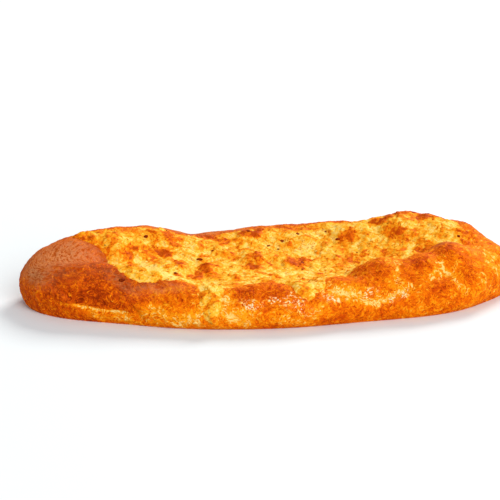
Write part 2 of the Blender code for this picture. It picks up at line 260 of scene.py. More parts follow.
class CheeseProperties(bpy.types.PropertyGroup):
    thickness: length("Thickness", "Cheese over the dough, between its blisters", 2.4 * MM)
    taper: length("Taper", "Width of the band in which the cheese thins to its edge", 7 * MM)
    sink: length("Sink", "How far the edge sinks into the crust", 0.35 * MM)
    puff: length("Puff", "Height of the small puffs between the blisters", 0.8 * MM)
    cell: length("Cell", "Size of the mesh's faces", 0.56 * MM)
    cream: colour("Cream", "Palest cheese", "#fdd672")
    pale: colour("Pale", "Baked but not browned cheese", "#f8b834")
    golden: colour("Golden", "Cheese that starts to brown", "#f29412")
    orange: colour("Orange", "Browned cheese on the blisters", "#e26a08")
    russet: colour("Russet", "Cheese that is browned the most", "#b44406")
    pore: colour("Pore", "Bottom of the small open pores", "#a84a0a")


class BubbleProperties(bpy.types.PropertyGroup):
    spacing: length("Spacing", "Least distance between two bubbles", 2.6 * MM)
    smallest: length("Smallest", "Width of the smallest bubbles", 0.9 * MM)
    largest: length("Largest", "Width of the largest bubbles", 2.6 * MM)
    seed: IntProperty(name="Seed", description="Picks another spread of bubbles", default=7, min=0)


class SpeckProperties(bpy.types.PropertyGroup):
    number: IntProperty(
        name="Small Specks", description="Small specks besides the named ones", default=22, min=0
    )
    smallest: length("Smallest", "Width of the smallest specks", 0.45 * MM)
    largest: length("Largest", "Width of the largest of the small specks", 1.1 * MM)
    char: colour("Char", "Scorched cheese", "#641403")
    ember: colour("Ember", "Scorched cheese where it is least burnt", "#9c3a08")


class StageProperties(bpy.types.PropertyGroup):
    floor: length("Floor", "Side of the square floor", 8.0)
    paper: colour("Paper", "Colour of the floor", "#e8edf0")
    sky: colour("Sky", "Colour of the even light all round", "#fbfdff")
    dome: number("Dome", "Strength of the even light all round", 0.45, min=0)
    back: number("Back", "Power of the softbox behind the loaf", 76.0, min=0, unit="POWER")
    front: number("Front", "Power of the softbox above the camera", 66.0, min=0, unit="POWER")
    focal_length: number(
        "Focal Length", "Lens of the camera", 120, min=1, unit="CAMERA", subtype="DISTANCE_CAMERA"
    )
    distance: length("Distance", "From the camera to the middle of the loaf", 0.90)
    azimuth: number(
        "Azimuth", "Camera's turn round the loaf", math.radians(-7), unit="ROTATION", subtype="ANGLE"
    )
    elevation: number(
        "Elevation", "Camera's height as an angle", math.radians(20), unit="ROTATION", subtype="ANGLE"
    )


class CheeseRollProperties(bpy.types.PropertyGroup):
    loaf: PointerProperty(type=LoafProperties)
    cheese: PointerProperty(type=CheeseProperties)
    bubbles: PointerProperty(type=BubbleProperties)
    specks: PointerProperty(type=SpeckProperties)
    stage: PointerProperty(type=StageProperties)


# Form


def around(values, angle):
    """Values at even stations round the loaf, joined by a smooth closed curve."""
    count = len(values)
    values = np.asarray(values, float)
    place = np.asarray(angle) / (2 * math.pi) % 1 * count
    first = np.floor(place).astype(int)
    f = place - first
    a, b, c, d = (values[(first + k) % count] for k in (-1, 0, 1, 2))
    return b + 0.5 * f * (c - a + f * (2 * a - 5 * b + 4 * c - d + f * (3 * (b - c) + d - a)))


def rim(column, angle):
    return around([row[column] for row in RIM], angle)


def hump(x, y, centre_x, centre_y, half_length, half_width, turn):
    """Squared distance from a hump's centre, as a share of its half sizes."""
    c, s = math.cos(math.radians(turn)), math.sin(math.radians(turn))
    dx, dy = x - centre_x * MM, y - centre_y * MM
    along, across = (c * dx + s * dy), (c * dy - s * dx)
    return (along / (half_length * MM)) ** 2 + (across / (half_width * MM)) ** 2


def crust_height(loaf, x, y, reach, angle):
    """Height of the dough's upper side, before its edge is rounded over."""
    crest = rim(CREST, angle) * MM
    hollow = loaf.hollow_height + HOLLOW_SLOPE * y
    inside = np.clip((rim(CREST_REACH, angle) - reach) / rim(BANK, angle), 0, None)
    heights = [hollow + (crest - hollow) * np.exp(-inside * inside)]
    for cx, cy, half_length, half_width, top, turn in LUMPS:
        away = hump(x, y, cx, cy, half_length, half_width, turn)
        heights.append(loaf.hollow_height + (top * MM - loaf.hollow_height) * (1 - away))
    heights = np.array(heights) / SOFTNESS
    top = heights.max(axis=0)
    return SOFTNESS * (top + np.log(np.exp(heights - top).sum(axis=0)))


def plan(loaf, reach, angle):
    """Where a share of the way out at an angle lies, seen from above."""
    swell = rim(SWELL, angle)
    return (
        reach * swell * loaf.length / 2 * np.cos(angle),
        reach * swell * loaf.width / 2 * np.sin(angle),
    )


def side_band(loaf, angle):
    """For the side at an angle: its rounding, its lower height, the share of the way out that one
    metre is, and the flat skin's share at which the side starts."""
    unit = np.hypot(np.cos(angle) / (loaf.length / 2), np.sin(angle) / (loaf.width / 2))
    roundness, widest = rim(ROUND, angle) * MM, rim(WIDEST, angle) * MM
    return roundness, widest, unit, 1 - roundness * (1 - math.cos(SIDE_START)) * unit


def skin(loaf, flat_reach, angle):
    """Folds the flat skin onto the loaf: over its top, and down its side to the table."""
    roundness, widest, unit, edge = side_band(loaf, angle)
    arc = roundness * SIDE_START
    down = np.clip((flat_reach - edge) / unit, 0, arc + widest)
    turn = np.where(down < arc, SIDE_START - down / roundness, FOOT_ANGLE * (down - arc) / widest)
    tuck = FOOT_INSET * (1 - np.cos(turn)) / (1 - math.cos(FOOT_ANGLE))
    inset = np.where(turn >= 0, roundness * (1 - np.cos(turn)), tuck)
    reach = np.where(flat_reach < edge, flat_reach, 1 - inset * unit)
    x, y = plan(loaf, reach, angle)
    from_edge = np.clip((1 - reach) / unit / roundness, 0, 1)
    rounded = np.sqrt(1 - (1 - from_edge) ** 2)
    height = widest + (crust_height(loaf, x, y, reach, angle) - widest) * rounded
    foot = widest * (1 - np.sin(turn) / math.sin(FOOT_ANGLE))
    return np.stack((x, y, np.where(turn >= 0, height, foot)), axis=1)


def line_distance(flat, points):
    """Distance to an open line through points given in mm."""
    x, y = flat.T
    best = np.full(len(x), np.inf)
    for (x0, y0), (x1, y1) in zip(points, points[1:]):
        x0, y0, dx, dy = x0 * MM, y0 * MM, (x1 - x0) * MM, (y1 - y0) * MM
        along = np.clip(((x - x0) * dx + (y - y0) * dy) / (dx * dx + dy * dy), 0, 1)
        best = np.minimum(best, np.hypot(x - x0 - along * dx, y - y0 - along * dy))
    return best


def below_seam(flat):
    """How far a place lies below the seam, and 1 along the seam fading to 0 past its ends."""
    x, y = flat.T
    seam_x, seam_y = np.array(SEAM).T * MM
    left, right = SEAM_ENDS
    along = np.clip((x - seam_x[0]) / left, 0, 1) * np.clip((seam_x[-1] - x) / right, 0, 1)
    return np.interp(x, seam_x, seam_y) - y, along


def inside_distance(flat, outline):
    """Distance to a closed outline in mm, positive inside it."""
    x, y = flat.T / MM
    odd = np.zeros(len(x), bool)
    for (x0, y0), (x1, y1) in zip(outline, outline[1:] + outline[:1]):
        if y0 != y1:
            odd ^= ((y0 > y) != (y1 > y)) & (x < x0 + (x1 - x0) * (y - y0) / (y1 - y0))
    best = line_distance(flat, outline + outline[:1])
    return np.where(odd, best, -best)


def smooth_outline(points, per_side=4):
    """A closed smooth curve through the outline's points."""
    steps = np.arange(len(points) * per_side) / per_side / len(points) * 2 * math.pi
    return list(zip(around([p[0] for p in points], steps), around([p[1] for p in points], steps)))


def ripple(places, waves):
    """Smooth noise at each place, summed over pairs of spacing and height."""
    return np.array([
        sum(height * noise.noise(Vector(place) / spacing) for spacing, height in waves)
        for place in places
    ])


def worms(places, spacing, curl):
    """Curling ridges about a spacing apart: 1 along a ridge, 0 between them."""
    ridges = []
    for place in places:
        point = Vector(place) / spacing
        ridges.append(abs(noise.noise(point + curl * noise.noise_vector(point * 0.7))))
    return 1 - np.clip(3.2 * np.array(ridges), 0, 1)


def puffs(places, spacing):
    """Rounded puffs about a spacing apart with narrow valleys between them, 0 to about 1."""
    return np.array([2 * abs(noise.noise(Vector(place) / spacing)) for place in places])


def zones(flat, places, spots, raggedness=1.0, sharpness=2.0):
    """Sum of soft-edged spots, each with a ragged outline."""
    waves = ((7 * MM, 2.5 * MM * raggedness), (2.5 * MM, 1.2 * MM * raggedness))
    x = flat[:, 0] + ripple(places, waves)
    y = flat[:, 1] + ripple(places + 0.5, waves)
    total = np.zeros(len(x))
    for cx, cy, half_length, half_width, change, turn in spots:
        away = hump(x, y, cx, cy, half_length, half_width, turn)
        total += change * np.exp(-(away**sharpness))
    return total


# Meshes


def mesh_of(name, places, faces):
    data = bpy.data.meshes.new(name)
    data.from_pydata(places.tolist(), [], faces)
    data.update()
    return data


def normals_of(places, faces):
    data = mesh_of("scratch", places, faces)
    flat = np.empty(3 * len(places))
    data.vertex_normals.foreach_get("vector", flat)
    bpy.data.meshes.remove(data)
    return flat.reshape(-1, 3)


def grid(rows, columns):
    """Indices of a grid's points, and the corners of its quads, which face up if the rows run
    along X and the columns along Y."""
    index = np.arange(rows * columns).reshape(rows, columns)
    corners = index[:-1, :-1], index[1:, :-1], index[1:, 1:], index[:-1, 1:]
    return index, np.stack([c.ravel() for c in corners], axis=1)


def polar(loaf, flat):
    """Flat skin places as shares of the way out and the ellipse's angles."""
    x, y = flat[:, 0] / (loaf.length / 2), flat[:, 1] / (loaf.width / 2)
    angle = np.arctan2(y, x)
    return np.hypot(x, y) / rim(SWELL, angle), angle


def dough_skin(loaf, flat, faces):
    """The dough's uneven, creased skin over flat places: its places and its normals."""
    places = skin(loaf, *polar(loaf, flat))
    outward = ripple(places, SWELLS)
    for crease in CREASES:
        outward -= loaf.crease_depth * np.exp(-((line_distance(flat, crease) / loaf.crease_width) ** 2))
    outward *= np.clip(places[:, 2] / SKIN_FROM, 0, 1)
    places += normals_of(places, faces) * outward[:, None]
    return places, normals_of(places, faces)


def new_object(name, data):
    made = bpy.data.objects.new(name, data)
    bpy.context.scene.collection.objects.link(made)
    return made


def finish_piece(name, places, faces, attributes, material, node_name):
    """Makes a smooth object with named values at its points, in place of a solid."""
    data = mesh_of(name, places, faces)
    data.shade_smooth()
    for label, values in attributes.items():
        kind, key = ("FLOAT_VECTOR", "vector") if values.ndim == 2 else ("FLOAT", "value")
        data.attributes.new(label, kind, "POINT").data.foreach_set(key, values.ravel())
    data.materials.append(material)
    piece = new_object(name, data)
    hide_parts(node_name)
    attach(piece, "root")


# Materials


def add(tree, kind, inputs=None, stops=(), **settings):
    """Adds a node and gives its outputs. Each input is a value, or a socket to link to it, and a
    colour ramp has stops."""
    made = tree.nodes.new(kind)
    for key, value in settings.items():
        setattr(made, key, value)
    for key, value in (inputs or {}).items():
        if isinstance(value, bpy.types.NodeSocket):
            tree.links.new(value, made.inputs[key])
        else:
            made.inputs[key].default_value = value
    if stops:
        elements = made.color_ramp.elements
        while len(elements) < len(stops):
            elements.new(0.5)
        for element, (position, value) in zip(elements, stops):
            element.position = position
            element.color = value
    return made.outputs


def new_material(name):
    material = bpy.data.materials.new(name)
    material.use_nodes = True
    material.node_tree.nodes.clear()
    return material, material.node_tree


def weighted(tree, first, *terms):
    """A sum: the first value, and for each further pair the two multiplied. Each is a socket
    or a number."""
    total = first
    for value, weight in terms:
        total = add(tree, "ShaderNodeMath", {0: value, 1: weight, 2: total}, operation="MULTIPLY_ADD")[0]
    return total


def centred_noise(tree, vector, spacing, detail, distortion):
    """Noise about a spacing apart, from about -1 to 1."""
    plain = add(tree, "ShaderNodeTexNoise", {
        "Vector": vector, "Scale": 1 / spacing, "Detail": detail, "Distortion": distortion,
    })[0]
    return add(
        tree, "ShaderNodeMapRange", {"Value": plain, "From Min": 0.25, "From Max": 0.75, "To Min": -1.0}
    )[0]


def patchy(tree, vector, spacing, detail, distortion, low, high):
    """Patches where a noise from -1 to 1 is high: 0 below low, 1 above high."""
    signed = centred_noise(tree, vector, spacing, detail, distortion)
    return add(tree, "ShaderNodeMapRange", {"Value": signed, "From Min": low, "From Max": high})[0]


def lines(tree, signed, width):
    """Thin curling lines where a noise from -1 to 1 passes 0: 1 on a line, 0 off it."""
    off_line = add(tree, "ShaderNodeMath", {0: signed}, operation="ABSOLUTE")[0]
    return add(
        tree, "ShaderNodeMapRange", {"Value": off_line, "From Max": width, "To Min": 1.0, "To Max": 0.0},
        interpolation_type="SMOOTHSTEP",
    )[0]


def nested_lines(tree, signed, count):
    """Curling lines nested in each other, which follow a noise: 1 on a line, 0 between two."""
    steps = weighted(tree, 0.0, (signed, count))
    folded = add(tree, "ShaderNodeMath", {0: steps, 1: 1.0}, operation="PINGPONG")[0]
    return add(tree, "ShaderNodeMapRange", {"Value": folded, "From Min": 0.35, "From Max": 0.95})[0]


def stretched(tree, vector, turn, along, across):
    """Turns a pattern's place about Z and stretches it, for strokes of a length and a width."""
    turned = add(tree, "ShaderNodeMapping", {"Vector": vector, "Rotation": (0, 0, turn)})[0]
    return add(
        tree, "ShaderNodeMapping", {"Vector": turned, "Scale": (1 / along, 1 / across, 1 / across)}
    )[0]


def crust_material(loaf):
    """Wheat dough brushed with egg and baked. The eye gets an orange to red-brown skin that is
    unevenly browned and paler where it stretched, a tan sheen painted on where it stayed smooth
    and faces up, and small glints of glaze painted in as pale highlights. Its real grain, about
    0.3 mm, is drawn at 1.3 mm, because a finer one would not show."""
    material, tree = new_material("egg-washed crust")
    where = add(tree, "ShaderNodeTexCoord")["Object"]
    browning, curly, sheen, glints, stretch = (
        add(tree, "ShaderNodeAttribute", attribute_name=name)["Fac"]
        for name in ("browning", "curly", "sheen", "glints", "stretch")
    )
    flow = add(tree, "ShaderNodeAttribute", attribute_name="flow")["Vector"]
    mottle = centred_noise(tree, where, 10 * MM, 3.0, 0.5)
    blotches = centred_noise(tree, where, 4.5 * MM, 2.0, 0.8)
    grain = centred_noise(tree, where, 1.3 * MM, 2.0, 1.0)
    broken = patchy(tree, where, 3.0 * MM, 1.0, 0.0, -0.5, 0.3)
    curls = nested_lines(tree, centred_noise(tree, where, 7.0 * MM, 1.5, 1.6), 2.6)
    curls = weighted(tree, 0.0, (curls, broken))
    curly_lines = weighted(tree, 0.0, (curls, curly))
    threads = lines(tree, centred_noise(tree, where, 7.0 * MM, 2.0, 1.8), 0.09)
    threads = weighted(tree, 0.0, (threads, browning))
    furrows = lines(tree, centred_noise(tree, where, 4.0 * MM, 1.0, 2.0), 0.10)
    furrows = weighted(tree, 0.0, (furrows, curly))
    along, apart = 8 * MM, 1.8 * MM  # the painted sheen's streaks run round the loaf
    streak_place = add(
        tree, "ShaderNodeMapping", {"Vector": flow, "Scale": (1 / along, 1 / along, 1 / apart)}
    )[0]
    streaks = centred_noise(tree, streak_place, 1.0, 3.0, 1.8)
    painted_sheen_streaks = weighted(tree, 0.0, (streaks, sheen))
    bursts = add(tree, "ShaderNodeMapRange", {
        "Value": weighted(tree, grain, (curls, 1.0), (blotches, 0.8)), "From Min": 0.2, "From Max": 1.2,
    })[0]
    pale_curls = weighted(tree, 0.0, (stretch, bursts))
    painted_glint_pattern = add(tree, "ShaderNodeMapRange", {
        "Value": weighted(tree, grain, (curls, 0.8)), "From Min": 0.35, "From Max": 0.80,
    })[0]
    painted_glint_lines = weighted(tree, 0.0, (glints, painted_glint_pattern))
    tone = weighted(
        tree, 0.06, (browning, 1.0), (mottle, 0.10), (blotches, 0.14), (grain, 0.09),
        (curly_lines, -0.36), (threads, -0.50), (furrows, 0.34), (painted_sheen_streaks, 0.22),
        (pale_curls, -0.60), (painted_glint_lines, -0.55),
    )
    browned = add(tree, "ShaderNodeValToRGB", {"Fac": tone}, (
        (0.0, loaf.straw), (0.19, loaf.golden), (0.45, loaf.orange), (0.74, loaf.browned),
        (1.0, loaf.scorched),
    ))["Color"]
    # Painted sheen: tan colours stand in for the light's reflection on smooth crust
    painted_sheen_tone = weighted(tree, 0.5, (streaks, 0.62), (grain, 0.45), (blotches, 0.15))
    dull = add(tree, "ShaderNodeValToRGB", {"Fac": painted_sheen_tone}, (
        (0.06, loaf.scorched), (0.48, loaf.tan), (0.95, loaf.rose),
    ))["Color"]
    with_painted_sheen = add(tree, "ShaderNodeMix", {
        "Factor": weighted(tree, 0.0, (sheen, 0.8)), 6: browned, 7: dull,
    }, data_type="RGBA")[2]
    # Painted highlight: the glints are mixed in as a pale colour, besides the coat's real gloss
    painted_glint_share = add(tree, "ShaderNodeMath", {0: painted_glint_lines, 1: 1.5}, operation="POWER")[0]
    base = add(tree, "ShaderNodeMix", {"Factor": painted_glint_share, 6: with_painted_sheen, 7: loaf.painted_glint}, data_type="RGBA")[2]
    height = weighted(
        tree, grain, (curly_lines, 2.4), (threads, 0.8), (furrows, -2.0), (painted_sheen_streaks, 1.2)
    )
    bump = add(tree, "ShaderNodeBump", {"Height": height, "Strength": 0.7, "Distance": 0.12 * MM})[0]
    shader = add(tree, "ShaderNodeBsdfPrincipled", {
        "Base Color": base, "Roughness": 0.55, "Normal": bump, "IOR": 1.45, "Specular IOR Level": 0.02,
        "Coat Weight": weighted(tree, 0.0, (glints, 0.06)), "Coat Roughness": 0.28, "Coat IOR": 1.45,
        "Coat Normal": bump,
    })
    add(tree, "ShaderNodeOutputMaterial", {"Surface": shader[0]})
    return material


def cheese_material(cheese):
    """Grated hard cheese, melted and baked. The eye gets pale gold with shreds, thin films and
    orange-browned blisters, a soft oily shine, and small torn pores drawn as darker brown dots. Its
    real grain and pores, from 0.3 mm, are drawn at 1.3 and 1.9 mm, because finer ones would not show."""
    material, tree = new_material("baked cheese")
    where = add(tree, "ShaderNodeTexCoord")["Object"]
    browning = add(tree, "ShaderNodeAttribute", attribute_name="browning")["Fac"]
    patches = add(tree, "ShaderNodeMapRange", {
        "Value": centred_noise(tree, where, 14 * MM, 2.0, 0.8),
        "From Min": -0.25, "From Max": 0.35, "To Min": -1.0,
    }, interpolation_type="SMOOTHSTEP")[0]
    mottle = centred_noise(tree, where, 5 * MM, 3.0, 1.2)
    toasted = patchy(tree, where, 9 * MM, 2.0, 1.0, 0.14, 0.30)
    grain = centred_noise(tree, where, 1.3 * MM, 1.0, 1.0)
    shreds = [
        centred_noise(tree, stretched(tree, where, turn, 7 * MM, 1.5 * MM), 1.0, 2.0, 0.6)
        for turn in (0.7, -0.9)
    ]
    breaks = patchy(tree, where, 4.0 * MM, 1.0, 0.0, -0.1, 0.4)
    films = lines(tree, centred_noise(tree, where, 7.0 * MM, 3.0, 1.8), 0.10)
    films = weighted(tree, 0.0, (films, breaks))
    pores = patchy(tree, where, 1.9 * MM, 1.0, 1.5, 0.48, 0.70)
    tone = weighted(
        tree, browning, (patches, 0.08), (toasted, 0.24), (mottle, 0.12), (grain, 0.13),
        (shreds[0], 0.14), (shreds[1], 0.14), (films, 0.40),
    )
    base = add(tree, "ShaderNodeValToRGB", {"Fac": tone}, (
        (0.04, cheese.cream), (0.26, cheese.pale), (0.45, cheese.golden), (0.64, cheese.orange),
        (0.90, cheese.russet),
    ))["Color"]
    speckled = add(tree, "ShaderNodeMix", {
        "Factor": weighted(tree, 0.0, (pores, 0.55)), 6: base, 7: cheese.pore,
    }, data_type="RGBA")[2]
    height = weighted(
        tree, grain, (pores, -0.2), (films, -0.4), (mottle, 0.8), (shreds[0], 0.8), (shreds[1], 0.8)
    )
    bump = add(tree, "ShaderNodeBump", {"Height": height, "Strength": 0.6, "Distance": 0.10 * MM})[0]
    shader = add(tree, "ShaderNodeBsdfPrincipled", {
        "Base Color": speckled, "Roughness": 0.5, "Normal": bump, "IOR": 1.45, "Specular IOR Level": 0.02,
    })
    add(tree, "ShaderNodeOutputMaterial", {"Surface": shader[0]})
    return material


def char_material(specks):
    """Cheese that the oven scorched. The eye gets a dry, dull and nearly black brown. Its real
    grit, about 0.2 mm, is drawn at 0.8 mm, because a finer one would not show."""
    material, tree = new_material("scorched cheese")
    where = add(tree, "ShaderNodeTexCoord")["Object"]
    grit = centred_noise(tree, where, 0.8 * MM, 2.0, 0.0)
    tone = add(tree, "ShaderNodeMapRange", {"Value": grit, "From Min": -1.0})[0]
    base = add(
        tree, "ShaderNodeValToRGB", {"Fac": tone}, ((0.2, specks.char), (0.9, specks.ember))
    )["Color"]
    shader = add(
        tree, "ShaderNodeBsdfPrincipled",
        {"Base Color": base, "Roughness": 0.5, "Specular IOR Level": 0.02},
    )
    add(tree, "ShaderNodeOutputMaterial", {"Surface": shader[0]})
    return material


def paper_material(stage):
    """Uncoated white paper: the eye gets an even, dull floor with no shine, so it has no pattern."""
    material, tree = new_material("white paper")
    shader = add(tree, "ShaderNodeBsdfPrincipled", {
        "Base Color": stage.paper, "Roughness": 1.0, "Specular IOR Level": 0.0,
    })
    add(tree, "ShaderNodeOutputMaterial", {"Surface": shader[0]})
    return material


# Pieces


class CHEESEROLL_OT_loaf(bpy.types.Operator):
    """Bake the loaf, with its wrinkled and creased crust"""

    bl_idname = "cheese_roll.loaf"
    bl_label = "Loaf"

    def execute(self, context):
        loaf = context.scene.cheese_roll.loaf
        rows = round(SKIN_LENGTH * loaf.length / loaf.cell)
        columns = round(SKIN_WIDTH * loaf.width / loaf.cell)
        index, quads = grid(rows, columns)
        a, b = (g.ravel() for g in np.meshgrid(
            np.linspace(-1, 1, rows), np.linspace(-1, 1, columns), indexing="ij"
        ))
        u, v = a * np.sqrt(1 - b * b / 2), b * np.sqrt(1 - a * a / 2)
        angle = np.arctan2(v, u)
        roundness, widest, unit, edge = side_band(loaf, angle)
        foot = edge + (roundness * SIDE_START + widest) * unit
        reach = np.hypot(u, v) * foot
        flat = np.stack(plan(loaf, reach, angle), axis=1)
        ring = np.concatenate((index[0], index[1:, -1], index[-1, -2::-1], index[-2:0:-1, 0]))
        faces = quads.tolist() + [ring.tolist()]
        places, normals = dough_skin(loaf, flat, faces)

        # The painted sheen lies on smooth crust that faces up, towards the light; there the wrinkles are
        # lower
        facing_up = np.clip(1.4 * normals[:, 2], 0, 1)
        sheen = np.clip(zones(flat, places, SMOOTH_CRUST_AND_PAINTED_SHEEN, 1.0, 1.2), 0, 1) * facing_up
        curly = 1 - 0.8 * sheen
        wrinkles = worms(places, loaf.wrinkle_spacing, CURL)
        outward = loaf.wrinkle_height * (curly * wrinkles)
        outward += curly * ripple(places, FINE_RIPPLE)
        below, along_seam = below_seam(flat)
        overhang = np.exp(-np.clip(-below, 0, None) / OVERHANG_RISE)
        overhang *= np.clip(0.5 - below / SEAM_STEP, 0, 1)
        outward += loaf.overhang * overhang * along_seam
        outward *= np.clip(places[:, 2] / FINE_FROM, 0, 1)
        places += normals * outward[:, None]

        # Stretched skin, the tops of the wrinkles and the lip stay paler, the crust is darker just above
        # the seam, and a painted highlight runs along the lip's top edge
        stretch = np.zeros(len(flat))
        for crease in CREASES[STRETCHED]:
            stretch += np.exp(-((line_distance(flat, crease) / STRETCH_WIDTH) ** 2))
        browning = rim(BROWNING, angle) + zones(flat, places, CRUST_BROWNING) - 0.15 * stretch
        browning += 0.12 * (0.4 - wrinkles) * curly
        lip = np.clip(below / SEAM_STEP + 0.3, 0, 1) * along_seam
        # A painted highlight along the lip's top edge
        lip_highlight = np.exp(-(((below - LIP_HIGHLIGHT) / LIP_HIGHLIGHT_WIDTH) ** 2)) * along_seam
        browning += 0.16 * overhang * along_seam - 0.03 * lip - 0.34 * lip_highlight
        distance_down = (reach - edge) / unit
        flow = np.stack((
            loaf.length / 2 * np.cos(angle), loaf.width / 2 * np.sin(angle), distance_down
        ), axis=1)
        finish_piece("crust", places, faces, {
            "browning": browning, "curly": curly, "sheen": sheen, "stretch": stretch, "flow": flow,
            "glints": np.clip(zones(flat, places, CRUST_PAINTED_GLINTS), 0, 1),
        }, crust_material(loaf), "bread_dough")
        return {"FINISHED"}


class CHEESEROLL_OT_cheese(bpy.types.Operator):
    """Melt the cheese over the loaf, with its blisters and puffs"""

    bl_idname = "cheese_roll.cheese"
    bl_label = "Cheese"

    def execute(self, context):
        loaf = context.scene.cheese_roll.loaf
        cheese = context.scene.cheese_roll.cheese
        outline = smooth_outline(CHEESE_OUTLINE)
        corners = np.array(outline) * MM
        low, high = corners.min(axis=0) - GRID_MARGIN, corners.max(axis=0) + GRID_MARGIN
        rows, columns = np.ceil((high - low) / cheese.cell).astype(int)
        quads = grid(rows, columns)[1]
        x, y = np.meshgrid(
            np.linspace(low[0], high[0], rows), np.linspace(low[1], high[1], columns), indexing="ij"
        )
        flat = np.stack((x.ravel(), y.ravel()), axis=1)
        faces = np.concatenate((quads[:, (0, 1, 2)], quads[:, (0, 2, 3)]))
        depth = inside_distance(flat, outline)
        depth += ripple(np.pad(flat, ((0, 0), (0, 1))), CHEESE_WANDER)

        # No side of a triangle may cross the edge: the nearer end is moved onto it
        pairs = np.concatenate((faces[:, (0, 1)], faces[:, (1, 2)], faces[:, (2, 0)]))
        start, end = pairs[depth[pairs[:, 0]] * depth[pairs[:, 1]] < 0].T
        share = depth[start] / (depth[start] - depth[end])
        near, far = np.where(share > 0.5, end, start), np.where(share > 0.5, start, end)
        step = np.minimum(share, 1 - share)
        order = np.argsort(-step)
        near, far, step = near[order], far[order], step[order]
        flat[near] += step[:, None] * (flat[far] - flat[near])
        depth[near] = 0

        faces = faces[depth[faces].max(axis=1) > 0]
        used, faces = np.unique(faces, return_inverse=True)
        faces = faces.reshape(-1, 3)
        flat, depth = flat[used], depth[used]
        places, normals = dough_skin(loaf, flat, faces.tolist())
        thickness = cheese.thickness * np.clip(depth / cheese.taper, 0, 1) ** 0.7
        ragged = places[:, :2] + np.stack(
            [ripple(places + shift, BLISTER_WANDER) for shift in (0.0, 0.5)], axis=1
        )
        domes = np.zeros(len(places))
        for cx, cy, half_length, half_width, rise, turn in BLISTERS:
            dome = 1 - hump(*ragged.T, cx, cy, half_length, half_width, turn)
            domes += rise * MM * np.clip(dome, 0, 1) ** 1.5
        inner = np.clip(depth / RELIEF_FROM, 0, 1)
        puffed = puffs(places, LARGE_PUFFS) + 0.5 * puffs(places + 0.3, SMALL_PUFFS) - 0.6
        top = thickness + domes * inner + cheese.puff * inner * puffed
        top = np.where(depth > 0, top, 0) - cheese.sink

        # The underside shares the points along the edge
        inside = np.flatnonzero(depth > 0)
        under = np.arange(len(places))
        under[inside] = len(places) + np.arange(len(inside))
        below = places[inside] - normals[inside] * cheese.sink * 1.5
        all_places = np.concatenate((places + normals * top[:, None], below))
        all_faces = np.concatenate((faces, under[faces[:, ::-1]]))

        # Blisters, puffs and the thin edge brown first, the edge most on the far side
        # The first of the cheese's spots paints a highlight on the big blister rather than browning
        browning = 0.25 + 1.15 * zones(flat, places, CHEESE_BROWNING_AND_HIGHLIGHT, 0.5, 2.6)
        browning += BLISTER_BROWNING * domes + 0.12 * (puffed - 0.4)
        far_side = np.clip(flat[:, 1] / FAR_SIDE, 0, 1)
        browning += (0.10 + 0.20 * far_side) * np.exp(-depth / CRISP_EDGE)
        browning += 0.18 * far_side * np.exp(-depth / BROWNED_EDGE)
        finish_piece("baked_cheese", all_places, all_faces.tolist(), {
            "browning": np.concatenate((browning, browning[inside])),
            "bubbly": np.concatenate((inner, np.zeros(len(inside)))),
        }, cheese_material(cheese), "cheese_topping")
        return {"FINISHED"}


def new_tree(name, sockets):
    """A node group with geometry in and out and the named inputs, and its inputs' sockets."""
    tree = bpy.data.node_groups.new(name, "GeometryNodeTree")
    tree.interface.new_socket("Geometry", in_out="INPUT", socket_type="NodeSocketGeometry")
    tree.interface.new_socket("Geometry", in_out="OUTPUT", socket_type="NodeSocketGeometry")
    for label, kind in sockets:
        tree.interface.new_socket(label, in_out="INPUT", socket_type=kind)
    return tree, add(tree, "NodeGroupInput")


def scatter(tree, points, turn, scale, subdivisions):
    """Sets a round lump on each point, turned and scaled, and makes them real geometry."""
    lump = add(tree, "GeometryNodeMeshIcoSphere", {"Radius": 1.0, "Subdivisions": subdivisions})[0]
    placed = add(tree, "GeometryNodeInstanceOnPoints", {
        "Points": points, "Instance": lump, "Rotation": turn, "Scale": scale,
    })[0]
    return add(tree, "GeometryNodeRealizeInstances", {"Geometry": placed})[0]


def dress(tree, geometry, material):
    """Ends a node group: shades what it made smooth and gives it the material."""
    smooth = add(tree, "GeometryNodeSetShadeSmooth", {"Geometry": geometry})[0]
    dressed = add(tree, "GeometryNodeSetMaterial", {"Geometry": smooth, "Material": material})[0]
    add(tree, "NodeGroupOutput", {"Geometry": dressed})


def grow(name, mesh, tree, values, material):
    """Runs a node group on a mesh and keeps the result as a plain piece."""
    seed_piece = new_object(name + "_seed", mesh)
    modifier = seed_piece.modifiers.new(name, "NODES")
    modifier.node_group = tree
    for item in tree.interface.items_tree:
        if item.in_out == "INPUT" and item.name in values:
            modifier[item.identifier] = values[item.name]
    evaluated = seed_piece.evaluated_get(bpy.context.evaluated_depsgraph_get())
    data = bpy.data.meshes.new_from_object(evaluated)
    bpy.data.objects.remove(seed_piece)
    data.name = name
    data.materials.clear()
    data.materials.append(material)
    piece = new_object(name, data)
    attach(piece, "root")


